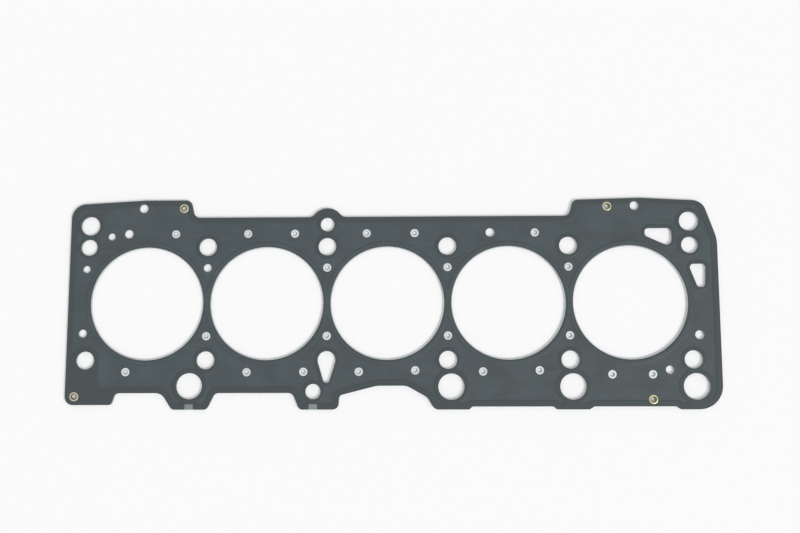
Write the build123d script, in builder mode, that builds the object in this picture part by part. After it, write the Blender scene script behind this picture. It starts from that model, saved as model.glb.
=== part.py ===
from build123d import *
import os

# Multi-layer steel cylinder head gasket for an in-line five-cylinder diesel engine.
#
# Three sheets lie face to face: two thin spring-steel sheets coated with elastomer, and between
# them a thicker bare carrier that sets the installed thickness. Each coated sheet has a full bead
# pressed round every bore, with its crown towards the head or the block. Hollow eyelets outside
# the sealed area hold the sheets together.
#
# Frame in mm: origin on the axis of the middle cylinder, at the height of the block face. +X runs
# along the row of cylinders, +Y towards the edge with the lug, +Z towards the head.
# A place is (number, along, out): along the row from a cylinder's axis or from a column of head
# bolts, and out from the rail, which is the line that touches every bore on one side.

# ---- cylinders and head bolts -----------------------------------------------------------------
CYLINDERS = (1, 2, 3, 4, 5)
MIDDLE_CYLINDER = 3
BORE_DIAMETER = 82.0  # clear opening in the carrier, over 81 mm cylinders
BORE_WEB = 6.0  # steel between neighbouring bores
FIRST_COLUMN = 1  # a column of bolts stands half a pitch before the cylinder of its number
LAST_COLUMN = 6
INNER_COLUMNS = (2, 3, 4, 5)
BOLT_OUT = 0.5
BOLT_HOLE = 13.0
DOWEL_HOLE = 12.0  # closer holes over the locating sleeves at both ends of the upper row
TEAR_COLUMN = 3  # its lower bolt hole carries oil too, and narrows to a tip
TEAR_LENGTH = 13.9  # from the bolt's axis to the centre of the tip
TEAR_TIP = 5.0

# ---- layers -----------------------------------------------------------------------------------
SHEET_THICKNESS = 0.3  # spring steel with its coating on both faces
CARRIER_THICKNESS = 1.01
SHEET_SETBACK = 0.4  # the coated sheets stop this far short of the carrier's edge at a bore

# ---- full beads round the bores, which run into each other where they cross the webs -----------
BEAD_HEIGHT = 0.2
BEAD_LEDGE = 0.3  # flat steel between a sheet's edge at the bore and its bead
BEAD_WIDTH = 4.0
BEAD_FLANK = 1.2  # width of each sloping side

# ---- diameters of the other holes -------------------------------------------------------------
OIL_RETURN = 18.8
OIL_FEED = 11.0
LUG_HOLE = 10.2
END_PASSAGE = 14.0
COOLANT_WINDOW = 6.0  # in the coated sheets
METERING_HOLE = 3.3  # in the carrier, under each window
COOLANT_HOLE = 6.0  # the same size in every sheet
CODE_HOLE = 6.5
SMALL_HOLE = 5.4

# ---- eyelets ----------------------------------------------------------------------------------
EYELET_HEAD = 6.5
EYELET_FLANGE = 0.15  # thickness of the rolled-over head
EYELET_WALL = 0.4
EYELET_BORE = 3.3
EYELET_CLEARANCE = 0.1  # between the barrel and its hole, all round
EYELET_IN = 4.9  # centre to the edge of the sheet
EYELET_END_IN = 6.6  # in the rounded corner at the lower left: centre to the end of the sheet
EYELET_CORNER_IN = 6.0  # and centre to the foot's edge

# ---- levels of the outline, out from the rail ---------------------------------------------------
UPPER_EDGE = 22.5
TAB_RISE = 13.1  # of the tabs above the upper edge
TAB_SLOPE = 1.2  # the tabs fall this much towards the ends
BOLT_LAND = 3.3  # steel between a bolt hole and the oil return beside it
OIL_RETURN_MARGIN = 6.9  # steel between an oil return and the foot's edge
FOOT_STEP = 2.1  # the edge between the feet of the last three columns lies this far in
LEFT_FOOT_STEP = 3.4  # the foot of the first column
LEFT_RECESS = 11.9  # the edge between the feet of the first three columns
MIDDLE_RECESS = 17.0  # the edge under the middle cylinder
LEFT_END = 14.0  # beyond the first column of bolts
RIGHT_END = 20.0  # beyond the last column

# ---- lug on the upper edge, round its own hole --------------------------------------------------
LUG_COLUMN = 3
LUG_MARGIN = 7.1  # steel round the hole
LUG_HOLE_IN = 5.6  # centre of the hole to the upper edge
LUG_FILLET = 6.0

# ---- coolant outlet by the last cylinder: low at the left, deeper towards its upright right side --
OUTLET_TO = -12.65  # its right side, along from the last column of bolts
OUTLET_LENGTH = 19.55
OUTLET_OUT = 13.1  # its straight upper side
OUTLET_LEFT_HEIGHT = 5.65
OUTLET_RIGHT_HEIGHT = 14.45
OUTLET_LEFT_CORNER = 2.8
OUTLET_RIGHT_CORNER = 3.8

# ---- port at the end, narrower below ------------------------------------------------------------
PORT_TO = 11.15  # its right side, along from the last column of bolts
PORT_WIDTH = 12.7
PORT_FOOT_WIDTH = 5.4
PORT_FOOT_IN = 0.9  # the right side leans this far in
PORT_IN = 13.3  # its upper side lies this far in from the rail
PORT_HEIGHT = 17.0
PORT_CORNER = 2.8
PORT_FOOT_CORNER = 2.1

# ---- code notches in the lower edge of the upper sheet -----------------------------------------
NOTCH_WIDTH = 6.2
NOTCH_DEPTH = 4.0

PITCH = BORE_DIAMETER + BORE_WEB
RAIL = BORE_DIAMETER / 2
BEAD_RADIUS = RAIL + SHEET_SETBACK + BEAD_LEDGE + BEAD_WIDTH / 2
EYELET_HOLE = EYELET_BORE + 2 * (EYELET_WALL + EYELET_CLEARANCE)

TAB = UPPER_EDGE + TAB_RISE
OIL_RETURN_OUT = BOLT_OUT + BOLT_HOLE / 2 + BOLT_LAND + OIL_RETURN / 2
FOOT = OIL_RETURN_OUT + OIL_RETURN / 2 + OIL_RETURN_MARGIN
LOWER_EDGE = FOOT - FOOT_STEP
LEFT_FOOT = FOOT - LEFT_FOOT_STEP

# Heights before the bolts are tightened: the lower sheet stands on the crowns of its beads.
LOWER_SHEET = BEAD_HEIGHT
CARRIER = LOWER_SHEET + SHEET_THICKNESS
UPPER_SHEET = CARRIER + CARRIER_THICKNESS
TOP = UPPER_SHEET + SHEET_THICKNESS


def cylinder(number, along=0.0):
    """X of a place beside a cylinder's axis."""
    return (number - MIDDLE_CYLINDER) * PITCH + along


def column(number, along=0.0):
    """X of a place beside a column of head bolts."""
    return cylinder(number - 0.5, along)


def upper(out):
    """Y of a place on the upper side."""
    return RAIL + out


def lower(out):
    """Y of a place on the lower side."""
    return -RAIL - out


# ---- places of the holes ----------------------------------------------------------------------
bores = [(cylinder(n), 0) for n in CYLINDERS]
dowel_holes = [(column(n), upper(BOLT_OUT)) for n in (FIRST_COLUMN, LAST_COLUMN)]
bolt_holes = [(column(n), upper(BOLT_OUT)) for n in INNER_COLUMNS]
bolt_holes += [
    (column(n), lower(BOLT_OUT))
    for n in (FIRST_COLUMN, *INNER_COLUMNS, LAST_COLUMN)
    if n != TEAR_COLUMN
]
oil_returns = [
    (column(n, along), lower(OIL_RETURN_OUT - back))
    for n, along, back in ((2, -11.5, 0.6), (4, 2.2, 0.0), (5, 1.6, 0.0), (6, 1.6, 0.0))
]
oil_feeds = [(column(3, -9.6), lower(23.1))]
lug_holes = [(column(LUG_COLUMN), upper(UPPER_EDGE - LUG_HOLE_IN))]
end_passages = [(column(1, 0.4), upper(16.6)), (column(6), upper(18.1))]

coolant_windows = [
    (cylinder(n, along), upper(10.3))
    for n, along in ((1, 20.0), (2, -14.6), (2, 20.0), (3, -15.1), (3, 20.0), (4, 20.0))
]
coolant_windows += [
    (cylinder(n, along), lower(out))
    for n, along, out in (
        (1, -14.4, 8.9),
        (2, -14.0, 9.1),
        (2, 27.2, 8.9),
        (3, -20.6, 8.9),
        (3, 20.2, 8.0),
        (4, -18.9, 8.9),
        (4, 21.8, 8.1),
        (5, -14.3, 11.1),
        (5, 14.7, 11.1),
    )
]
coolant_windows += [(column(n), upper(-15.0)) for n in (3, 4, 5)]
coolant_windows += [(column(n), lower(-17.0)) for n in INNER_COLUMNS]

coolant_holes = [
    (column(2), upper(-15.0)),
    (column(1, -2.6), lower(-19.1)),
    (cylinder(5, 26.9), lower(7.9)),
]
code_holes = [
    (cylinder(1, -4.4), upper(TAB - 6.1)),
    (cylinder(1, -14.9), upper(10.5)),
    (cylinder(4, -12.7), upper(10.5)),
    (cylinder(5, 5.0), upper(TAB - 5.8)),
    (column(6, 5.0), lower(-17.1)),
]
small_holes = [(cylinder(1, -27.6), upper(8.5)), (column(1, -1.4), upper(-15.7))]

eyelets = {
    "eyelet_upper_left": (column(2, -18.5), upper(TAB - TAB_SLOPE - EYELET_IN)),
    "eyelet_upper_right": (cylinder(5, -15.0), upper(TAB - TAB_SLOPE - EYELET_IN)),
    "eyelet_lower_left": (column(1, EYELET_END_IN - LEFT_END), lower(LEFT_FOOT - EYELET_CORNER_IN)),
    "eyelet_lower_right": (cylinder(5, 14.4), lower(LOWER_EDGE - EYELET_IN)),
}

# ---- outline: corners as (x, y, radius), clockwise from the lower left ------------------------
left_end = [
    (column(1, -LEFT_END), lower(LEFT_FOOT), 6.0),
    (column(1, -LEFT_END), upper(TAB - 3.1), 11.0),
]
upper_left_tab = [
    (cylinder(1, -4.0), upper(TAB), 60.0),
    (column(2, -13.3), upper(TAB), 4.5),
    (column(2, -10.2), upper(UPPER_EDGE), 5.0),
]
upper_right_tab = [
    (column(5, 1.0), upper(UPPER_EDGE), 5.0),
    (column(5, 4.2), upper(TAB - TAB_SLOPE), 4.5),
    (cylinder(5, 9.0), upper(TAB), 60.0),
    (column(6, 10.3), upper(TAB - 2.4), 10.0),
]
right_end = [
    (column(6, RIGHT_END), upper(5.0), 25.0),
    (column(6, RIGHT_END), lower(FOOT), 17.0),
]
sixth_foot = [
    (column(6, -10.2), lower(FOOT), 2.0),
    (column(6, -13.4), lower(LOWER_EDGE), 2.0),
]
fifth_foot = [
    (column(5, 16.3), lower(LOWER_EDGE), 2.0),
    (column(5, 13.0), lower(FOOT), 2.0),
    (column(5, -10.4), lower(FOOT), 2.0),
    (column(5, -12.8), lower(LOWER_EDGE), 2.0),
]
fourth_foot = [
    (column(4, 17.2), lower(LOWER_EDGE), 2.0),
    (column(4, 14.9), lower(FOOT), 2.0),
    (column(4, -10.0), lower(FOOT), 5.0),
    (column(4, -14.7), lower(FOOT - 8.4), 8.0),
]
middle_recess = [
    (cylinder(3, 13.9), lower(FOOT - MIDDLE_RECESS), 10.0),
    (cylinder(3, -7.5), lower(FOOT - MIDDLE_RECESS), 20.0),
]
third_foot = [
    (column(3, 9.4), lower(FOOT - 10.1), 3.0),
    (column(3, 8.7), lower(FOOT), 4.5),
    (column(3, -19.5), lower(FOOT), 3.5),
    (column(3, -24.3), lower(FOOT - LEFT_RECESS), 5.0),
]
second_foot = [
    (column(2, 7.4), lower(FOOT - LEFT_RECESS), 4.0),
    (column(2, 1.5), lower(FOOT), 4.0),
    (column(2, -23.9), lower(FOOT), 4.0),
    (column(2, -31.5), lower(FOOT - LEFT_RECESS), 8.0),
]
first_foot = [
    (column(1, 22.8), lower(FOOT - LEFT_RECESS), 3.5),
    (column(1, 20.0), lower(LEFT_FOOT), 3.0),
]
outline = [
    *left_end,
    *upper_left_tab,
    *upper_right_tab,
    *right_end,
    *sixth_foot,
    *fifth_foot,
    *fourth_foot,
    *middle_recess,
    *third_foot,
    *second_foot,
    *first_foot,
]

# Openings with straight sides: the coolant outlet by the last cylinder, and the port at the end.
outlet_left = column(LAST_COLUMN, OUTLET_TO - OUTLET_LENGTH)
outlet = [
    (outlet_left, upper(OUTLET_OUT), OUTLET_LEFT_CORNER),
    (column(LAST_COLUMN, OUTLET_TO), upper(OUTLET_OUT), OUTLET_RIGHT_CORNER),
    (column(LAST_COLUMN, OUTLET_TO), upper(OUTLET_OUT - OUTLET_RIGHT_HEIGHT), OUTLET_RIGHT_CORNER),
    (outlet_left, upper(OUTLET_OUT - OUTLET_LEFT_HEIGHT), OUTLET_LEFT_CORNER),
]
port_foot = PORT_TO - PORT_FOOT_IN
end_port = [
    (column(LAST_COLUMN, PORT_TO - PORT_WIDTH), upper(-PORT_IN), PORT_CORNER),
    (column(LAST_COLUMN, PORT_TO), upper(-PORT_IN), PORT_CORNER),
    (column(LAST_COLUMN, port_foot), upper(-PORT_IN - PORT_HEIGHT), PORT_FOOT_CORNER),
    (column(LAST_COLUMN, port_foot - PORT_FOOT_WIDTH), upper(-PORT_IN - PORT_HEIGHT), PORT_FOOT_CORNER),
]


def rounded(corners):
    """Closed face with the given corners, each rounded to its own radius."""
    with BuildSketch() as shape:
        with BuildLine():
            points = [(x, y) for x, y, radius in corners]
            FilletPolyline(*points, radius=[radius for x, y, radius in corners], close=True)
        make_face()
    return shape.sketch


# ---- plan: the outline with every opening that all three sheets share -------------------------
with BuildSketch() as tear_hole:
    with Locations((column(TEAR_COLUMN), lower(BOLT_OUT))):
        Circle(BOLT_HOLE / 2)
    with Locations((column(TEAR_COLUMN), lower(BOLT_OUT + TEAR_LENGTH))):
        Circle(TEAR_TIP / 2)
    make_hull()

with BuildSketch() as plan:
    add(rounded(outline))
    with Locations(*lug_holes):
        Circle(LUG_HOLE / 2 + LUG_MARGIN)
    lug_roots = [
        corner
        for corner in plan.vertices()
        if abs(corner.Y - upper(UPPER_EDGE)) < 1e-6 and abs(corner.X - column(LUG_COLUMN)) < PITCH / 2
    ]
    fillet(lug_roots, LUG_FILLET)
    for opening in (rounded(outlet), rounded(end_port), tear_hole.sketch):
        add(opening, mode=Mode.SUBTRACT)
    for places, diameter in (
        (bolt_holes, BOLT_HOLE),
        (dowel_holes, DOWEL_HOLE),
        (oil_returns, OIL_RETURN),
        (oil_feeds, OIL_FEED),
        (lug_holes, LUG_HOLE),
        (end_passages, END_PASSAGE),
        (coolant_holes, COOLANT_HOLE),
        (code_holes, CODE_HOLE),
        (small_holes, SMALL_HOLE),
        (eyelets.values(), EYELET_HOLE),
    ):
        with Locations(*places):
            Circle(diameter / 2, mode=Mode.SUBTRACT)

# ---- full bead: the ring between a flat face and a face pressed up by the bead ----------------
with BuildPart() as bead:
    with BuildSketch(Plane.XZ):
        with BuildLine():
            Polyline(
                (BEAD_RADIUS - BEAD_WIDTH / 2, 0),
                (BEAD_RADIUS - BEAD_WIDTH / 2 + BEAD_FLANK, BEAD_HEIGHT),
                (BEAD_RADIUS + BEAD_WIDTH / 2 - BEAD_FLANK, BEAD_HEIGHT),
                (BEAD_RADIUS + BEAD_WIDTH / 2, 0),
                close=True,
            )
        make_face()
    revolve(axis=Axis.Z)

# ---- carrier: flat and bare, with the openings at their full size at the bores ----------------
with BuildPart() as carrier_sheet:
    with BuildSketch(Plane.XY.offset(CARRIER)):
        add(plan.sketch)
        with Locations(*bores):
            Circle(BORE_DIAMETER / 2, mode=Mode.SUBTRACT)
        with Locations(*coolant_windows):
            Circle(METERING_HOLE / 2, mode=Mode.SUBTRACT)
    extrude(amount=CARRIER_THICKNESS)

# ---- coated sheet, modelled as the upper one: bead crowns up --------------------------------
with BuildPart() as coated_sheet:
    with BuildSketch(Plane.XY.offset(UPPER_SHEET)):
        add(plan.sketch)
        with Locations(*bores):
            Circle(BORE_DIAMETER / 2 + SHEET_SETBACK, mode=Mode.SUBTRACT)
        with Locations(*coolant_windows):
            Circle(COOLANT_WINDOW / 2, mode=Mode.SUBTRACT)
    extrude(amount=SHEET_THICKNESS)
    with Locations(*[(x, y, TOP) for x, y in bores]):
        add(bead.part)
    with Locations(*[(x, y, UPPER_SHEET) for x, y in bores]):
        add(bead.part, mode=Mode.SUBTRACT)

# ---- lower sheet: the same sheet turned over, with its crowns on the block ---------------------
with BuildPart() as lower_sheet:
    add(coated_sheet.part)
    mirror(about=Plane.XY.offset(CARRIER + CARRIER_THICKNESS / 2), mode=Mode.REPLACE)

# ---- upper sheet: with the two code notches, each under its own oil hole ----------------------
with BuildPart() as upper_sheet:
    add(coated_sheet.part)
    with BuildSketch(Plane.XY.offset(UPPER_SHEET)):
        with Locations(*[(x, lower(FOOT)) for x, y in (oil_returns[0], oil_feeds[0])]):
            Rectangle(NOTCH_WIDTH, 2 * NOTCH_DEPTH)
    extrude(amount=SHEET_THICKNESS, mode=Mode.SUBTRACT)

# ---- eyelet: a short tube with both ends rolled over the sheets --------------------------------
with BuildPart() as eyelet:
    with BuildSketch(Plane.XY.offset(LOWER_SHEET - EYELET_FLANGE)):
        Circle(EYELET_HEAD / 2)
        Circle(EYELET_BORE / 2, mode=Mode.SUBTRACT)
    extrude(amount=EYELET_FLANGE)
    with BuildSketch(Plane.XY.offset(LOWER_SHEET)):
        Circle(EYELET_BORE / 2 + EYELET_WALL)
        Circle(EYELET_BORE / 2, mode=Mode.SUBTRACT)
    extrude(amount=TOP - LOWER_SHEET)
    with BuildSketch(Plane.XY.offset(TOP)):
        Circle(EYELET_HEAD / 2)
        Circle(EYELET_BORE / 2, mode=Mode.SUBTRACT)
    extrude(amount=EYELET_FLANGE)

os.makedirs("parts", exist_ok=True)

upper_sheet.part.label = "upper_sheet"
export_step(upper_sheet.part, "parts/upper_sheet.step")
carrier_sheet.part.label = "carrier_sheet"
export_step(carrier_sheet.part, "parts/carrier_sheet.step")
lower_sheet.part.label = "lower_sheet"
export_step(lower_sheet.part, "parts/lower_sheet.step")

for name, place in eyelets.items():
    with BuildPart() as placed_eyelet:
        with Locations(place):
            add(eyelet.part)
    placed_eyelet.part.label = name
    export_step(placed_eyelet.part, f"parts/{name}.step")
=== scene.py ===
import math

import bmesh
import bpy
import numpy as np
from mathutils.geometry import delaunay_2d_cdt
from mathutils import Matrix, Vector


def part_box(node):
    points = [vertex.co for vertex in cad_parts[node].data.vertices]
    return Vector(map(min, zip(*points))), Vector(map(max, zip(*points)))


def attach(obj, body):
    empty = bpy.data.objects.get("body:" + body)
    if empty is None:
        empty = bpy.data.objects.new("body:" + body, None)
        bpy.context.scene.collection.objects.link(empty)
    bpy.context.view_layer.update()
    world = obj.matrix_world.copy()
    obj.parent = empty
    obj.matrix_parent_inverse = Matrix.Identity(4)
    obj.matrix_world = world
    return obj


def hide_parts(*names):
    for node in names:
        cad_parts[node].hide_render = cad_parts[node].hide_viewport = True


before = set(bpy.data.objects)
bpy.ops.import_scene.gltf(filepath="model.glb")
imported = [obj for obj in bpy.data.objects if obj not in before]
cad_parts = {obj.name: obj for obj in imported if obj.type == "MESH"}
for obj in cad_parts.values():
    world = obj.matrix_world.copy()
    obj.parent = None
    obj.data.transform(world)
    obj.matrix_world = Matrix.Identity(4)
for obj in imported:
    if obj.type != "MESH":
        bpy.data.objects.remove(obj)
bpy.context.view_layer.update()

# Multi-layer steel head gasket, dressed: two coated spring-steel sheets with pressed beads, the
# bare carrier between them, and four rolled brass eyelets. Lengths are in millimetres and become
# metres when a mesh is written.

MM = 0.001

# ---- levels and sizes --------------------------------------------------------------------------
CARRIER_UNDER, CARRIER_TOP = (corner.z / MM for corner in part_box("carrier_sheet"))
SHEET = 0.3  # thickness of a coated sheet
RELIEF = 0.2  # height of every bead and half-bead
CARRIER_BREAK = 0.12  # the broken edges of the carrier's openings
BREAK_LEAN = 0.7  # rise of the normals on a broken edge, against 1 sideways

BEAD_INNER = 0.3  # a bore's bead starts this far outside the sheet's edge
BEAD_WIDTH = 4.0  # from foot to foot
BEAD_FLANK = 0.3  # share of that width on each side, with the flat crown between them
BEAD_LINES = (0, 0.1, 0.2, BEAD_FLANK, 1 - BEAD_FLANK, 0.8, 0.9, 1)  # shares with a line of points

STEP_WIDTH = 1.1  # of the slope of a half-bead
STEP_LINES = (-0.5, -0.28, -0.1, 0.1, 0.28, 0.5)  # shares of that width, from the slope's middle
RIM = 4.3  # the perimeter's half-bead runs this far inside the edge
LIP = 2.4  # half-bead round a bolt or fluid opening, from the opening's edge
WIDE_LIP = 3.2  # the same round an oil return
CORNER_LIP = 3.4  # the same round the bolt at the corner foot
CORNER_BOLT = (-220.0, -41.5)
CORNER_WITHIN = 2.0  # the bolt's opening is found this near its place
HOLE_FLAT = 1.3  # sheet left flat round a small hole, which has no half-bead of its own
EYELET_FLAT = 1.75  # sheet left flat round an eyelet's hole
# The corner foot at the lower left lies outside the sealed area.
CORNER_FOOT = np.array((
    (-236.0, -41.5), (-210.4, -41.5), (-210.4, -61.6),
    (-196.0, -61.6), (-196.0, -80.0), (-236.0, -80.0),
))

# Kinds of round openings, by their radius.
BORE_FROM = 30.0
OIL_RETURN_FROM = 8.0
SEALED_FROM = 4.0  # from here on an opening has a half-bead of its own
SMALL_HOLE_FROM = 2.4  # the eyelets' holes are smaller

NOTCHES = (-143.5, -53.6)  # middles of the two notches in the upper sheet's lower edge
NOTCH_WIDTH = 6.2
NOTCH_TOP = -73.0
NOTCH_SHADE_MARGIN = 0.5  # the painted shade under a notch runs this far past it

# ---- how the loops and lines are found ---------------------------------------------------------
LEVEL_WITHIN = 0.02  # a loop's points lie this near its level
WALL_RISE, FACE_RISE = 0.1, 0.9  # upright share of a normal: a wall has less, a face has more
LOOP_LEAST = 6  # points in a loop
ROUND_WITHIN = 0.02  # a round loop's points lie this near its circle
RING_LEAST, RING_MOST, RING_PER_MM = 40, 216, 5.2  # points in a circle, by its radius
GRID = 0.5  # spacing of the grid that the half-bead lines are traced on
GRID_MARGIN = 4.0  # the grid runs this far past the outline
GRID_BLUR = 1  # grid steps over which creases in it are rounded
TRACE_LEAST = 19  # points in a traced line
TRACE_STEP = 3  # one in so many of them is kept
SAME_HEIGHT = 1e-6  # two beads this near in height meet

# ---- colours, sRGB -----------------------------------------------------------------------------
COAT = "374245"
COAT_THIN = "444F52"
# Painted shade: the coat is slightly darker on the raised land behind a half-bead.
COAT_LAND_SHADE = "374144"
# Painted shade: the coat is darker on the pressed slopes of beads and half-beads.
COAT_SLOPE_SHADE = "343F42"
STEEL = "DFE5E7"
STEEL_DULL = "C8CECF"
# Painted shade: darker steel for the carrier where the notches in the upper sheet uncover it.
STEEL_NOTCH_SHADE = "87908F"
STEEL_NOTCH_SHADE_DARK = "778080"
CUT_EDGE = "9DA1A1"
BRASS = "CBCAAC"
BRASS_DULL = "857F5C"
# Painted shade: olive brown on the inner flank of an eyelet's head and in its barrel.
BRASS_INNER_SHADE = "5E583A"
WHITE = "FFFFFF"

# ---- sizes of the materials' patterns ----------------------------------------------------------
COAT_CLOUD = 18.2
COAT_STREAK = (45.5, 1.54, 1.54)  # long the way the steel was rolled, along X
COAT_GRAIN = 0.5  # the real grain is about 0.05, drawn coarser so that it shows
ROLLING_LINE = (16.7, 0.385, 0.385)  # about ten times the real lines, so that they show
STEEL_STAIN = 11.1
BRASS_STAIN = 1.43


def linear(code):
    """Linear RGBA of an sRGB hex colour."""
    channels = [int(code[i:i + 2], 16) / 255 for i in (0, 2, 4)]
    return [c / 12.92 if c <= 0.04045 else ((c + 0.055) / 1.055) ** 2.4 for c in channels] + [1.0]


def per_metre(size):
    """Scale of a pattern whose marks have a size in millimetres."""
    return 1 / (size * MM)


# ---- loops of the cut edges --------------------------------------------------------------------
def chained(beside):
    """Loops of keys, each walked from one key to a neighbour that has not been used yet."""
    loops = []
    while beside:
        loop, here = [], next(iter(beside))
        while here is not None:
            loop.append(here)
            here = next((key for key in beside.pop(here) if key in beside), None)
        loops.append(loop)
    return loops


def cut_loops(node, level):
    """Loops of points where a sheet's face at a level meets its cut walls."""
    mesh = bmesh.new()
    mesh.from_mesh(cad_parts[node].data)
    bmesh.ops.remove_doubles(mesh, verts=mesh.verts, dist=1e-7)
    mesh.normal_update()
    beside = {}
    for edge in mesh.edges:
        off = max(abs(v.co.z / MM - level) for v in edge.verts)
        if len(edge.link_faces) != 2 or off > LEVEL_WITHIN:
            continue
        rises = sorted(abs(face.normal.z) for face in edge.link_faces)
        if rises[0] < WALL_RISE and rises[1] > FACE_RISE:
            a, b = (v.index for v in edge.verts)
            beside.setdefault(a, []).append(b)
            beside.setdefault(b, []).append(a)
    mesh.verts.ensure_lookup_table()
    loops = [
        np.array([mesh.verts[i].co.xy for i in loop], float) / MM
        for loop in chained(beside)
        if len(loop) >= LOOP_LEAST
    ]
    mesh.free()
    return loops


def circle_of(loop):
    """(centre, radius) of a loop that is a circle, or None."""
    table = np.column_stack([2 * loop, np.ones(len(loop))])
    x, y, k = np.linalg.lstsq(table, (loop ** 2).sum(1), rcond=None)[0]
    radius = math.sqrt(k + x * x + y * y)
    spread = np.abs(np.hypot(loop[:, 0] - x, loop[:, 1] - y) - radius).max()
    return (np.array((x, y)), radius) if spread < ROUND_WITHIN else None


def ring(centre, radius, count):
    """Points of a circle, anticlockwise."""
    turn = np.arange(count) * 2 * math.pi / count
    return centre + radius * np.column_stack([np.cos(turn), np.sin(turn)])


def ring_count(radius):
    """How many points keep a circle smooth."""
    return int(max(RING_LEAST, min(RING_MOST, radius * RING_PER_MM)))


def sorted_loops(loops):
    """(outline, circles, windows): the longest loop, the round openings and the others."""
    outline = max(loops, key=lambda loop: np.ptp(loop[:, 0]))
    fitted = [(loop, circle_of(loop)) for loop in loops if loop is not outline]
    circles = [circle for _, circle in fitted if circle]
    windows = [loop for loop, circle in fitted if not circle]
    return outline, circles, windows


# ---- distances ---------------------------------------------------------------------------------
def inside(points, loop):
    """Which points lie inside a loop."""
    result = np.zeros(len(points), bool)
    x, y = points[:, 0], points[:, 1]
    for a, b in zip(loop, np.roll(loop, -1, 0)):
        if a[1] != b[1]:
            crosses = (a[1] > y) != (b[1] > y)
            result ^= crosses & (x < (b[0] - a[0]) * (y - a[1]) / (b[1] - a[1]) + a[0])
    return result


def distance(points, loop):
    """Distance of points from a loop, below zero inside it."""
    best = np.full(len(points), 1e9)
    for a, b in zip(loop, np.roll(loop, -1, 0)):
        along = b - a
        share = np.clip(((points - a) @ along) / (along @ along), 0, 1)
        gap = points - a - share[:, None] * along
        best = np.minimum(best, (gap ** 2).sum(1))
    return np.sqrt(best) * np.where(inside(points, loop), -1, 1)


def blurred(field, reach):
    """A field with its creases rounded off over a reach, in grid steps."""
    span = np.arange(-3 * reach, 3 * reach + 1)
    weights = np.exp(-0.5 * (span / reach) ** 2)
    weights /= weights.sum()
    padded = np.pad(field, 3 * reach, mode="edge")
    rows = sum(w * padded[:, i:i + field.shape[1]] for i, w in enumerate(weights))
    return sum(w * rows[i:i + field.shape[0]] for i, w in enumerate(weights))


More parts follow.
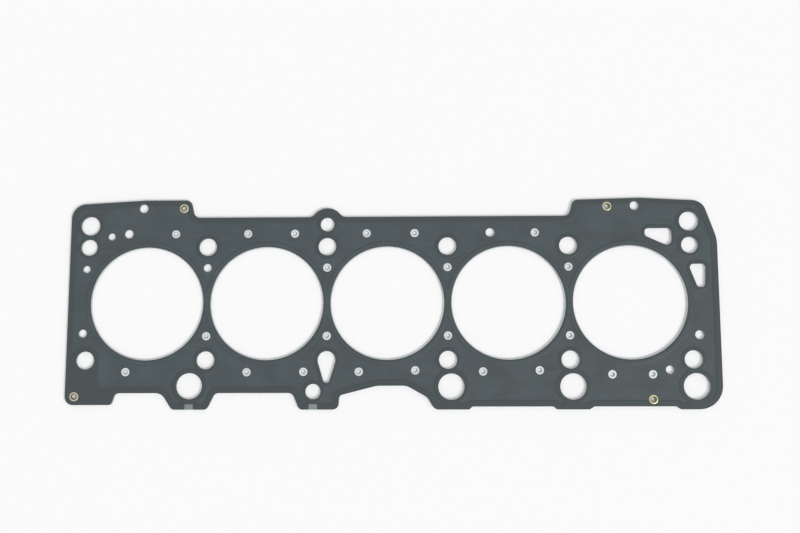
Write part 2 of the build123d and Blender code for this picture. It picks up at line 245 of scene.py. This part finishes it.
class Relief:
    """Height of a coated sheet's face over its flat level: a full bead round each bore, and
    half-beads that lift the rim and the land round each bolt and fluid opening."""

    def __init__(self, outline, circles, windows):
        bores = [(centre, radius) for centre, radius in circles if radius > BORE_FROM]
        self.bores = sorted(bores, key=lambda bore: bore[0][0])
        low, high = outline.min(0) - GRID_MARGIN, outline.max(0) + GRID_MARGIN
        self.low = low
        columns, rows = np.ceil((high - low) / GRID).astype(int) + 1
        x = low[0] + GRID * np.arange(columns)
        y = low[1] + GRID * np.arange(rows)
        points = np.column_stack([axis.ravel() for axis in np.meshgrid(x, y)])
        # The field is above zero in the sealed area and below zero on the raised steel round it.
        field = -distance(points, outline) - RIM
        for centre, radius in circles:
            away = np.hypot(*(points - centre).T) - radius
            if SEALED_FROM < radius < BORE_FROM:
                corner = math.dist(centre, CORNER_BOLT) < CORNER_WITHIN
                lip = CORNER_LIP if corner else WIDE_LIP if radius > OIL_RETURN_FROM else LIP
                field = np.minimum(field, away - lip)
        for window in windows:
            field = np.minimum(field, distance(points, window) - LIP)
        field = np.minimum(field, distance(points, CORNER_FOOT))
        for centre, radius in circles:
            if radius < SEALED_FROM:
                flat = EYELET_FLAT if radius < SMALL_HOLE_FROM else HOLE_FLAT
                field = np.maximum(field, flat - np.hypot(*(points - centre).T) + radius)
        self.field = blurred(field.reshape(rows, columns), GRID_BLUR)
        self.slopes = np.gradient(self.field, GRID)
        self.lines = self.bead_lines()
        for share in STEP_LINES:
            self.lines += self.contours(share * STEP_WIDTH)

    def sampled(self, grid, points):
        """A grid's values at points, linear between its nodes."""
        place = (points - self.low) / GRID
        cell = np.clip(place.astype(int), 0, np.array(grid.shape)[::-1] - 2)
        u, v = (place - cell).T
        i, j = cell[:, 1], cell[:, 0]
        return (
            grid[i, j] * (1 - u) * (1 - v) + grid[i, j + 1] * u * (1 - v)
            + grid[i + 1, j] * (1 - u) * v + grid[i + 1, j + 1] * u * v
        )

    def contours(self, level):
        """Loops along which the field has a level, traced over two triangles in each grid cell."""
        above = self.field > level
        crossed = np.argwhere(
            (above[:-1, :-1] != above[1:, :-1]) | (above[:-1, :-1] != above[:-1, 1:])
            | (above[:-1, :-1] != above[1:, 1:])
        )
        beside = {}
        for i, j in crossed:
            i, j = int(i), int(j)
            near, far = (i, j), (i + 1, j + 1)
            for corners in ((near, (i, j + 1), far), (near, far, (i + 1, j))):
                cuts = [
                    tuple(sorted((a, b)))
                    for a, b in zip(corners, corners[1:] + corners[:1])
                    if above[a] != above[b]
                ]
                if len(cuts) == 2:
                    beside.setdefault(cuts[0], []).append(cuts[1])
                    beside.setdefault(cuts[1], []).append(cuts[0])
        loops = []
        for loop in chained(beside):
            points = []
            for a, b in loop:
                share = (level - self.field[a]) / (self.field[b] - self.field[a])
                row, column = (1 - share) * np.array(a) + share * np.array(b)
                points.append(self.low + GRID * np.array((column, row)))
            if len(points) >= TRACE_LEAST:
                loops.append(np.array(points[::TRACE_STEP]))
        return loops

    def bead_lines(self):
        """Circles that carry the profile of each bore's bead, and the valleys where two beads
        meet."""
        lines = [
            ring(centre, radius + BEAD_INNER + share * BEAD_WIDTH, ring_count(radius))
            for centre, radius in self.bores
            for share in BEAD_LINES
        ]
        for (near, radius), (far, _) in zip(self.bores, self.bores[1:]):
            middle = (near + far) / 2
            outer = radius + BEAD_INNER + BEAD_WIDTH
            reach = math.sqrt(outer ** 2 - (middle[0] - near[0]) ** 2)
            lines.append(middle + np.array(((0, -reach), (0, reach))))
        return lines

    def at(self, points):
        """(height, rise along X, rise along Y, slope, land) at points: slope is 1 in the middle of
        a pressed slope, and land is 1 on the raised steel behind a half-bead."""
        t = np.clip((STEP_WIDTH / 2 - self.sampled(self.field, points)) / STEP_WIDTH, 0, 1)
        height = RELIEF * t * t * (3 - 2 * t)
        fall = -RELIEF * 6 * t * (1 - t) / STEP_WIDTH
        rise_x = fall * self.sampled(self.slopes[1], points)
        rise_y = fall * self.sampled(self.slopes[0], points)
        slope, land = 4 * t * (1 - t), t

        beads = []
        for centre, radius in self.bores:
            offset = points - centre
            reach = np.hypot(*offset.T)
            across = (reach - radius - BEAD_INNER) / BEAD_WIDTH
            t = np.clip(np.minimum(across, 1 - across) / BEAD_FLANK, 0, 1)
            climb = np.where(across < 0.5, 6, -6) * RELIEF * t * (1 - t) / BEAD_FLANK / BEAD_WIDTH
            crown = RELIEF * t * t * (3 - 2 * t)
            beads.append((crown, *(climb * offset.T / reach), 4 * t * (1 - t)))
        beads = np.array(beads)
        crown = beads[:, 0].max(0)
        meeting = beads[:, 0] > crown - SAME_HEIGHT
        shares = meeting / meeting.sum(0)
        on_bead = crown > 0
        height = np.where(on_bead, crown, height)
        rise_x, rise_y, slope = (
            np.where(on_bead, (beads[:, i] * shares).sum(0), flat)
            for i, flat in ((1, rise_x), (2, rise_y), (3, slope))
        )
        return height, rise_x, rise_y, slope, land


# ---- sheets ------------------------------------------------------------------------------------
def triangulated(outline, circles, windows, extra):
    """(points, triangles) of a plate with its openings, with extra loops as edges inside it."""
    cuts = [outline, *windows, *(ring(c, r, ring_count(r)) for c, r in circles)]
    points, edges = [], []
    for loop in cuts + extra:
        first = len(points)
        points += [tuple(p) for p in loop]
        edges += [(first + i, first + (i + 1) % len(loop)) for i in range(len(loop))]
    found = delaunay_2d_cdt(points, edges, [], 0, 1e-5)
    places = np.array([tuple(p) for p in found[0]])
    triangles = np.array(found[2])
    middles = places[triangles].mean(1)
    kept = inside(middles, outline)
    for window in windows:
        kept &= ~inside(middles, window)
    for centre, radius in circles:
        kept &= np.hypot(*(middles - centre).T) > radius * math.cos(math.pi / ring_count(radius))
    triangles = triangles[kept]
    a, b, c = (places[triangles[:, i]] for i in range(3))
    turned = np.cross(b - a, c - a) < 0
    triangles[turned] = triangles[turned][:, ::-1]
    used, numbers = np.unique(triangles, return_inverse=True)
    return places[used], numbers.reshape(-1, 3)


def rim_edges(triangles):
    """Edges that only one triangle uses, with the plate on their left."""
    seen = set()
    for a, b, c in triangles.tolist():
        seen.update(((a, b), (b, c), (c, a)))
    return np.array([(a, b) for a, b in seen if (b, a) not in seen])


def shell(name, places, triangles, under, over, rises, chamfer, materials, marks=None, finish=None):
    """Closed plate between two heights for each point, with walls along its cut edges. The rises
    give both faces their normals, so that flat steel stays flat beside a bead. The marks are values
    from 0 to 1 that the coat's material reads. The materials are those of the faces and of the
    walls, and any more that the finish gives to triangles of the upper face, by number."""
    count = len(places)
    rim = rim_edges(triangles)
    along = places[rim[:, 1]] - places[rim[:, 0]]
    across = np.column_stack([along[:, 1], -along[:, 0]]) / np.hypot(*along.T)[:, None]
    outward = np.zeros((count, 2))
    np.add.at(outward, rim[:, 0], across)
    np.add.at(outward, rim[:, 1], across)
    length = np.hypot(*outward.T)
    outward[length > 0] /= length[length > 0][:, None]

    # Layers of points from the top down, and the bands of wall between them with their lean.
    if chamfer:
        inner = places - chamfer * outward
        layers = (inner, over), (places, over - chamfer), (places, under + chamfer), (inner, under)
        bands = (0, 1, BREAK_LEAN), (1, 2, 0), (2, 3, -BREAK_LEAN)
    else:
        layers = (places, over), (places, under)
        bands = ((0, 1, 0),)
    vertices = np.vstack([np.column_stack(layer) for layer in layers]) * MM
    up = np.column_stack([-rises[0], -rises[1], np.ones(count)])
    up /= np.linalg.norm(up, axis=1)[:, None]
    side = np.column_stack([outward, np.zeros(count)])

    a, b = rim[:, 0], rim[:, 1]
    turned = triangles[:, ::-1]
    blocks = [triangles, turned + (len(layers) - 1) * count]
    normals = [up[triangles], -up[turned]]
    for top, bottom, lean in bands:
        lower, upper = bottom * count, top * count
        blocks.append(np.column_stack([a + lower, b + lower, b + upper, a + upper]))
        wall = side + np.array((0, 0, lean))
        wall /= np.linalg.norm(wall, axis=1)[:, None].clip(1e-9)
        normals.append(wall[np.column_stack([a, b, b, a])])
    # The layers between the faces are used along the rim only.
    used = np.unique(np.concatenate([block.ravel() for block in blocks]))
    numbers = np.zeros(len(vertices), int)
    numbers[used] = np.arange(len(used))
    faces = [face for block in blocks for face in numbers[block].tolist()]

    mesh = bpy.data.meshes.new(name)
    mesh.from_pydata(vertices[used].tolist(), [], faces)
    face_count, wall_count = len(triangles), len(faces) - 2 * len(triangles)
    finishes = [*(finish or [0] * face_count), *[0] * face_count, *[1] * wall_count]
    mesh.polygons.foreach_set("material_index", finishes)
    mesh.polygons.foreach_set("use_smooth", [True] * len(faces))
    for mark, values in (marks or {}).items():
        attribute = mesh.attributes.new(mark, "FLOAT", "POINT")
        attribute.data.foreach_set("value", np.tile(values, len(layers))[used].astype(np.float32))
    mesh.normals_split_custom_set(np.vstack([n.reshape(-1, 3) for n in normals]).tolist())
    for material in materials:
        mesh.materials.append(material)
    piece = bpy.data.objects.new(name, mesh)
    bpy.context.scene.collection.objects.link(piece)
    return piece


def coated_sheet(name, loops, relief, base, side, materials):
    """A coated sheet with its beads, whose crowns stand up, for side 1, or down, for side -1, from
    its flat face against the carrier."""
    places, triangles = triangulated(*loops, relief.lines)
    height, rise_x, rise_y, slope, land = relief.at(places)
    faces = base + side * height, base + side * (height + SHEET)
    under, over = faces[::side]
    return shell(name, places, triangles, under, over, (side * rise_x, side * rise_y), 0, materials,
                 {"slope": slope, "land": land})


def carrier(name, loops, under, over, materials):
    """The uncoated carrier, flat, with the edges of its openings broken, and painted darker, as
    shade, where the notches in the upper sheet leave it uncovered."""
    outline, circles, windows = loops
    half = NOTCH_WIDTH / 2 + NOTCH_SHADE_MARGIN
    low, high = outline[:, 1].min() - NOTCH_SHADE_MARGIN, NOTCH_TOP + NOTCH_SHADE_MARGIN
    # Painted shade: patches of darker steel under the notches.
    notch_shades = [
        np.array(((x - half, low), (x + half, low), (x + half, high), (x - half, high)))
        for x in NOTCHES
    ]
    places, triangles = triangulated(outline, circles, windows, notch_shades)
    middles = places[triangles].mean(1)
    in_notch_shade = inside(middles, notch_shades[0]) | inside(middles, notch_shades[1])
    flat = np.zeros(len(places))
    return shell(name, places, triangles, flat + under, flat + over, (flat, flat), CARRIER_BREAK,
                 materials, finish=(2 * in_notch_shade).tolist())


# ---- materials ---------------------------------------------------------------------------------
def add_node(tree, kind, settings=None, links=None):
    """Adds a node. Settings go by property, input name or input number, links by input."""
    node = tree.nodes.new(kind)
    for key, value in (settings or {}).items():
        if isinstance(key, int) or key in node.inputs:
            node.inputs[key].default_value = value
        else:
            setattr(node, key, value)
    for key, socket in (links or {}).items():
        tree.links.new(socket, node.inputs[key])
    return node


def new_material(name):
    """(material, its tree, its surface shader)."""
    material = bpy.data.materials.new(name)
    material.use_nodes = True
    tree = material.node_tree
    tree.nodes.clear()
    shader = add_node(tree, "ShaderNodeBsdfPrincipled")
    add_node(tree, "ShaderNodeOutputMaterial", links={"Surface": shader.outputs["BSDF"]})
    return material, tree, shader


def elastomer_coat():
    """Fluoro-elastomer roll-coated on spring steel and cured: dark slate grey and satin, slightly
    cloudy where the coat varies in thickness, with faint streaks along the way it was rolled and a
    fine grain that breaks up the gloss. Painted shade makes it slightly darker on the raised land
    behind a half-bead, and darker still on the pressed slopes."""
    material, tree, shader = new_material("elastomer_coat")
    place = add_node(tree, "ShaderNodeTexCoord").outputs["Object"]
    cloud = add_node(tree, "ShaderNodeTexNoise",
                     {"Scale": per_metre(COAT_CLOUD), "Detail": 4.0, "Roughness": 0.6},
                     {"Vector": place}).outputs["Fac"]
    rolled = add_node(tree, "ShaderNodeMapping", {"Scale": [per_metre(d) for d in COAT_STREAK]},
                      {"Vector": place})
    streak = add_node(tree, "ShaderNodeTexNoise", {"Scale": 1.0, "Detail": 3.0},
                      {"Vector": rolled.outputs["Vector"]}).outputs["Fac"]
    grain = add_node(tree, "ShaderNodeTexNoise", {"Scale": per_metre(COAT_GRAIN), "Detail": 2.0},
                     {"Vector": place}).outputs["Fac"]
    uneven = add_node(tree, "ShaderNodeMath", {"operation": "MULTIPLY_ADD", 1: 0.5},
                      {0: streak, 2: cloud})
    speckled = add_node(tree, "ShaderNodeMath", {"operation": "MULTIPLY_ADD", 1: 0.7},
                        {0: grain, 2: uneven.outputs[0]})
    tone = add_node(tree, "ShaderNodeMapRange", {"From Min": 0.85, "From Max": 1.35},
                    {"Value": speckled.outputs[0]})
    land = add_node(tree, "ShaderNodeAttribute", {"attribute_name": "land"}).outputs["Fac"]
    slope = add_node(tree, "ShaderNodeAttribute", {"attribute_name": "slope"}).outputs["Fac"]
    base = add_node(tree, "ShaderNodeMix",
                    {"data_type": "RGBA", 6: linear(COAT), 7: linear(COAT_THIN)},
                    {0: tone.outputs["Result"]})
    # Painted shade on the raised land behind a half-bead.
    land_shade = add_node(tree, "ShaderNodeMix", {"data_type": "RGBA", 7: linear(COAT_LAND_SHADE)},
                      {0: land, 6: base.outputs[2]})
    # Painted shade on the pressed slopes.
    slope_shade = add_node(tree, "ShaderNodeMix", {"data_type": "RGBA", 7: linear(COAT_SLOPE_SHADE)},
                     {0: slope, 6: land_shade.outputs[2]})
    tree.links.new(slope_shade.outputs[2], shader.inputs["Base Color"])
    sheen = add_node(tree, "ShaderNodeMapRange",
                     {"From Min": 0.5, "From Max": 1.0, "To Min": 0.4, "To Max": 0.55},
                     {"Value": uneven.outputs[0]})
    tree.links.new(sheen.outputs["Result"], shader.inputs["Roughness"])
    relief_of_coat = add_node(tree, "ShaderNodeMath", {"operation": "MULTIPLY_ADD", 1: 0.4},
                              {0: streak, 2: grain})
    bump = add_node(tree, "ShaderNodeBump", {"Strength": 0.5, "Distance": 0.16 * MM},
                    {"Height": relief_of_coat.outputs[0]})
    tree.links.new(bump.outputs["Normal"], shader.inputs["Normal"])
    shader.inputs["IOR"].default_value = 1.5
    return material


def rolled_steel(name, pale, dull, low, high):
    """Cold-rolled steel: pale grey metal whose fine rolling lines run along the sheet and blur its
    reflections more across them than along them. Its roughness lies between low and high."""
    material, tree, shader = new_material(name)
    place = add_node(tree, "ShaderNodeTexCoord").outputs["Object"]
    stretched = add_node(tree, "ShaderNodeMapping", {"Scale": [per_metre(d) for d in ROLLING_LINE]},
                         {"Vector": place})
    lines = add_node(tree, "ShaderNodeTexNoise", {"Scale": 1.0, "Detail": 3.0},
                     {"Vector": stretched.outputs["Vector"]})
    stain = add_node(tree, "ShaderNodeTexNoise", {"Scale": per_metre(STEEL_STAIN), "Detail": 3.0},
                     {"Vector": place})
    tone = add_node(tree, "ShaderNodeMath", {"operation": "MULTIPLY_ADD", 1: 0.6},
                    {0: lines.outputs["Fac"], 2: stain.outputs["Fac"]})
    share = add_node(tree, "ShaderNodeMapRange", {"From Min": 0.55, "From Max": 1.05},
                     {"Value": tone.outputs[0]})
    colour = add_node(tree, "ShaderNodeMix",
                      {"data_type": "RGBA", 6: linear(dull), 7: linear(pale)},
                      {0: share.outputs["Result"]})
    tree.links.new(colour.outputs[2], shader.inputs["Base Color"])
    blur = add_node(tree, "ShaderNodeMapRange", {"To Min": low, "To Max": high},
                    {"Value": lines.outputs["Fac"]})
    tree.links.new(blur.outputs["Result"], shader.inputs["Roughness"])
    bump = add_node(tree, "ShaderNodeBump", {"Strength": 0.15, "Distance": 0.03 * MM},
                    {"Height": lines.outputs["Fac"]})
    tree.links.new(bump.outputs["Normal"], shader.inputs["Normal"])
    shader.inputs["Metallic"].default_value = 1.0
    return material


def rolled_brass():
    """Brass tube with a pale plating, rolled over: a soft pale gold ring with a bright crown,
    painted dull olive brown as shade where it goes down into the barrel and all through the barrel."""
    material, tree, shader = new_material("rolled_brass")
    place = add_node(tree, "ShaderNodeTexCoord").outputs["Object"]
    stain = add_node(tree, "ShaderNodeTexNoise", {"Scale": per_metre(BRASS_STAIN), "Detail": 3.0},
                     {"Vector": place})
    share = add_node(tree, "ShaderNodeMapRange", {"From Min": 0.2, "From Max": 0.5},
                     {"Value": stain.outputs["Fac"]})
    colour = add_node(tree, "ShaderNodeMix",
                      {"data_type": "RGBA", 6: linear(BRASS_DULL), 7: linear(BRASS)},
                      {0: share.outputs["Result"]})
    # The barrel mark says where the brass is painted olive brown as shade.
    barrel = add_node(tree, "ShaderNodeAttribute", {"attribute_name": "barrel"}).outputs["Fac"]
    inner_shade = add_node(tree, "ShaderNodeMix", {"data_type": "RGBA", 7: linear(BRASS_INNER_SHADE)},
                    {0: barrel, 6: colour.outputs[2]})
    tree.links.new(inner_shade.outputs[2], shader.inputs["Base Color"])
    blur = add_node(tree, "ShaderNodeMapRange", {"To Min": 0.32, "To Max": 0.46},
                    {"Value": stain.outputs["Fac"]})
    tree.links.new(blur.outputs["Result"], shader.inputs["Roughness"])
    bump = add_node(tree, "ShaderNodeBump", {"Strength": 0.1, "Distance": 0.01 * MM},
                    {"Height": stain.outputs["Fac"]})
    tree.links.new(bump.outputs["Normal"], shader.inputs["Normal"])
    shader.inputs["Metallic"].default_value = 1.0
    return material


coat = elastomer_coat()
steel = rolled_steel("rolled_steel", STEEL, STEEL_DULL, 0.3, 0.44)
cut_steel = rolled_steel("sheared_steel", CUT_EDGE, STEEL_DULL, 0.4, 0.55)
# Darker steel, painted shade in the notches.
notch_shade_steel = rolled_steel("notch_shade_steel", STEEL_NOTCH_SHADE, STEEL_NOTCH_SHADE_DARK, 0.5, 0.65)
brass = rolled_brass()

# ---- the three sheets --------------------------------------------------------------------------
upper_loops = sorted_loops(cut_loops("upper_sheet", CARRIER_TOP + SHEET))
lower_loops = sorted_loops(cut_loops("lower_sheet", CARRIER_UNDER))
carrier_loops = sorted_loops(cut_loops("carrier_sheet", CARRIER_TOP))
# Both sheets take their relief from the lower one's loops, which have no notches to follow.
relief = Relief(*lower_loops)
coated = (coat, cut_steel)
upper = coated_sheet("coated_sheet_upper", upper_loops, relief, CARRIER_TOP, 1, coated)
lower = coated_sheet("coated_sheet_lower", lower_loops, relief, CARRIER_UNDER, -1, coated)
middle = carrier("carrier_plate", carrier_loops, CARRIER_UNDER, CARRIER_TOP,
                 (steel, cut_steel, notch_shade_steel))
for piece, node, slot in (
    (upper, "upper_sheet", "coating"),
    (lower, "lower_sheet", "coating"),
    (middle, "carrier_sheet", "carrier_steel"),
):
    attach(piece, "root")
    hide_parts(node)


# ---- eyelets -----------------------------------------------------------------------------------
EYELET = {
    "Head Radius": 2.48,  # from the axis to the middle of the rolled head
    "Head Half Width": 0.77,
    "Dome": 0.2,
    "Barrel Radius": 1.91,  # to the middle of the barrel's wall
    "Wall": 0.4,
    "Grip": 1.59,  # a little less than the pack, so that the heads bite
}
ARC_POINTS = 17
RING_POINTS = 72
INNER_SHADE_FADE = (0.3, 0.12)  # the painted shade fades out between these shares of its section, counted from the barrel
CREASE = 50  # degrees: a sharper edge stays sharp


def eyelet_tree():
    """Geometry Nodes group that rolls an eyelet round each point of a mesh: a tube with a domed
    ring at each end."""
    tree = bpy.data.node_groups.new("rolled_eyelets", "GeometryNodeTree")
    tree.interface.new_socket("Geometry", in_out="INPUT", socket_type="NodeSocketGeometry")
    for name in EYELET:
        tree.interface.new_socket(name, in_out="INPUT", socket_type="NodeSocketFloat")
    tree.interface.new_socket("Finish", in_out="INPUT", socket_type="NodeSocketMaterial")
    tree.interface.new_socket("Geometry", in_out="OUTPUT", socket_type="NodeSocketGeometry")
    given = add_node(tree, "NodeGroupInput").outputs

    # Head: half an ellipse, flat where it lies on the sheet, carried round a circle.
    arc = add_node(tree, "GeometryNodeCurveArc",
                   {"Resolution": ARC_POINTS, "Radius": 1.0, "Start Angle": math.pi,
                    "Sweep Angle": math.pi})
    closed = add_node(tree, "GeometryNodeSetSplineCyclic", {"Cyclic": True},
                      {"Geometry": arc.outputs["Curve"]})
    spread = add_node(tree, "ShaderNodeCombineXYZ", {"Z": 1.0},
                      {"X": given["Head Half Width"], "Y": given["Dome"]})
    section = add_node(tree, "GeometryNodeTransform",
                       links={"Geometry": closed.outputs[0], "Scale": spread.outputs[0]})
    # The barrel mark, for the painted shade, rises over the head's inner flank.
    along = add_node(tree, "GeometryNodeSplineParameter").outputs["Factor"]
    turn = add_node(tree, "ShaderNodeMapRange",
                    {"From Min": INNER_SHADE_FADE[0], "From Max": INNER_SHADE_FADE[1]}, {"Value": along})
    section = add_node(tree, "GeometryNodeStoreNamedAttribute",
                       {"data_type": "FLOAT", "Name": "barrel"},
                       {"Geometry": section.outputs[0], "Value": turn.outputs["Result"]})
    head_path = add_node(tree, "GeometryNodeCurvePrimitiveCircle", {"Resolution": RING_POINTS},
                         {"Radius": given["Head Radius"]})
    head = add_node(tree, "GeometryNodeCurveToMesh",
                    links={"Curve": head_path.outputs[0], "Profile Curve": section.outputs[0]})
    half_grip = add_node(tree, "ShaderNodeMath", {"operation": "MULTIPLY", 1: 0.5},
                         {0: given["Grip"]})
    lift = add_node(tree, "ShaderNodeCombineXYZ", links={"Z": half_grip.outputs[0]})
    upper_head = add_node(tree, "GeometryNodeTransform",
                          links={"Geometry": head.outputs[0], "Translation": lift.outputs[0]})
    lower_head = add_node(tree, "GeometryNodeTransform", {"Rotation": (math.pi, 0.0, 0.0)},
                          {"Geometry": upper_head.outputs[0]})

    # Barrel between the heads.
    barrel_path = add_node(tree, "GeometryNodeCurvePrimitiveCircle", {"Resolution": RING_POINTS},
                           {"Radius": given["Barrel Radius"]})
    wall = add_node(tree, "GeometryNodeCurvePrimitiveQuadrilateral",
                    links={"Width": given["Wall"], "Height": given["Grip"]})
    barrel = add_node(tree, "GeometryNodeCurveToMesh",
                      links={"Curve": barrel_path.outputs[0], "Profile Curve": wall.outputs[0]})
    # The whole barrel gets the painted shade.
    marked = add_node(tree, "GeometryNodeStoreNamedAttribute",
                      {"data_type": "FLOAT", "Name": "barrel", "Value": 1.0},
                      {"Geometry": barrel.outputs[0]})

    joined = add_node(tree, "GeometryNodeJoinGeometry")
    for part in (marked, lower_head, upper_head):
        tree.links.new(part.outputs[0], joined.inputs[0])
    placed = add_node(tree, "GeometryNodeInstanceOnPoints",
                      links={"Points": given["Geometry"], "Instance": joined.outputs[0]})
    real = add_node(tree, "GeometryNodeRealizeInstances", links={"Geometry": placed.outputs[0]})
    finished = add_node(tree, "GeometryNodeSetMaterial",
                        links={"Geometry": real.outputs[0], "Material": given["Finish"]})
    add_node(tree, "NodeGroupOutput", links={0: finished.outputs[0]})
    return tree


eyelet_nodes = sorted(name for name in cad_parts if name.startswith("eyelet_"))
seats = [(low + high) / 2 for low, high in map(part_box, eyelet_nodes)]
seed = bpy.data.meshes.new("eyelet_seats")
seed.from_pydata([tuple(seat) for seat in seats], [], [])
maker = bpy.data.objects.new("eyelet_seats", seed)
bpy.context.scene.collection.objects.link(maker)
rolling = maker.modifiers.new("rolled_eyelets", "NODES")
rolling.node_group = eyelet_tree()
sockets = {item.name: item.identifier for item in rolling.node_group.interface.items_tree
           if item.in_out == "INPUT"}
for name, value in EYELET.items():
    rolling[sockets[name]] = value * MM
rolling[sockets["Finish"]] = brass
bpy.context.view_layer.update()
made = bpy.data.meshes.new_from_object(maker.evaluated_get(bpy.context.evaluated_depsgraph_get()))
bpy.data.objects.remove(maker)
made.name = "eyelets"
edit = bmesh.new()
edit.from_mesh(made)
bmesh.ops.recalc_face_normals(edit, faces=edit.faces)
for face in edit.faces:
    face.smooth = True
for edge in edit.edges:
    edge.smooth = len(edge.link_faces) == 2 and edge.calc_face_angle() < math.radians(CREASE)
edit.to_mesh(made)
edit.free()
eyelets = bpy.data.objects.new("eyelets", made)
bpy.context.scene.collection.objects.link(eyelets)
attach(eyelets, "root")
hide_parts(*eyelet_nodes)

# ---- floor, light and camera -------------------------------------------------------------------
SKY_LIGHT = 0.62
SOFTBOX_LIGHT = 1.5
SOFTBOX_SPREAD = 0.45  # radians across, which keeps its shadows soft
SOFTBOX_TURN = (27, 37.5, 0)  # degrees: it shines from the side of the lower right corner
FLOOR_SIZE = 30.0  # metres
FLOOR_GAP = 0.03  # the floor lies this far under the crowns

bpy.ops.mesh.primitive_plane_add(size=FLOOR_SIZE, location=(0, 0, -FLOOR_GAP * MM))
floor = bpy.context.object
floor.name = "floor"
paper, _, shader = new_material("studio_floor")
shader.inputs["Base Color"].default_value = linear(WHITE)
shader.inputs["Roughness"].default_value = 0.9
floor.data.materials.append(paper)

world = bpy.data.worlds.new("studio")
bpy.context.scene.world = world
world.use_nodes = True
sky = world.node_tree
sky.nodes.clear()
# Soft light from all round. What is seen directly or in a polished surface is plain white.
rays = add_node(sky, "ShaderNodeLightPath").outputs
seen = add_node(sky, "ShaderNodeMath", {"operation": "ADD", "use_clamp": True},
                {0: rays["Is Camera Ray"], 1: rays["Is Glossy Ray"]})
seen = add_node(sky, "ShaderNodeMath", {"operation": "ADD", "use_clamp": True},
                {0: seen.outputs[0], 1: rays["Is Transmission Ray"]})
soft = add_node(sky, "ShaderNodeBackground", {"Strength": SKY_LIGHT, "Color": linear(WHITE)})
plain = add_node(sky, "ShaderNodeBackground", {"Strength": 1.0, "Color": linear(WHITE)})
both = add_node(sky, "ShaderNodeMixShader",
                links={0: seen.outputs[0], 1: soft.outputs[0], 2: plain.outputs[0]})
add_node(sky, "ShaderNodeOutputWorld", links={"Surface": both.outputs[0]})

lamp = bpy.data.lights.new("softbox", "SUN")
lamp.energy = SOFTBOX_LIGHT
lamp.angle = SOFTBOX_SPREAD
key = bpy.data.objects.new("softbox", lamp)
key.rotation_euler = [math.radians(turn) for turn in SOFTBOX_TURN]
bpy.context.scene.collection.objects.link(key)

camera_data = bpy.data.cameras.new("camera")
camera_data.lens = 45.0
camera_data.sensor_width = 36.0
camera = bpy.data.objects.new("camera", camera_data)
camera.location = (0.0274, -0.067, 0.7267)
camera.rotation_euler = [math.radians(turn) for turn in (7.351, 1.44, -0.07)]
bpy.context.scene.collection.objects.link(camera)
bpy.context.scene.camera = camera

bpy.context.scene.view_settings.view_transform = "Standard"
